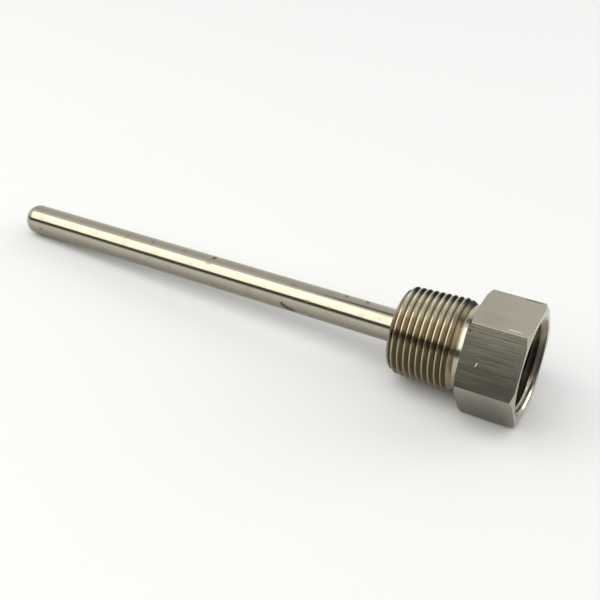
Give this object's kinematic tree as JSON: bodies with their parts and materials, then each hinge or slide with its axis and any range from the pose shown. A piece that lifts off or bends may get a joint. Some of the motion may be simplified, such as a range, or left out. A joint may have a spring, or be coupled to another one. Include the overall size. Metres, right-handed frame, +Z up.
{
  "type": "thermowell",
  "caption": "Stainless steel thermowell: a closed stem tube welded into a hexagon fitting with a male taper pipe thread and a threaded instrument socket.",
  "frame": {"origin": "below the middle of the part's box, on the surface it lies on", "axes": "+X from the closed tip towards the open hexagon end, +Z up. The stem's axis drops 3.81 degrees towards the tip, as the part lies on one flat of the hexagon and on its tip."},
  "size_m": [0.1737, 0.0346, 0.031],
  "materials": {
    "fitting_steel": "turned and milled stainless steel, fine tool lines",
    "tube_steel": "drawn and polished stainless steel tube with small stains and pits",
    "weld_steel": "welded stainless steel, slightly tinted"
  },
  "bodies": {
    "root": {"hex_fitting": "fitting_steel", "stem_tube": "tube_steel", "root_weld": "weld_steel"}
  },
  "joints": []
}
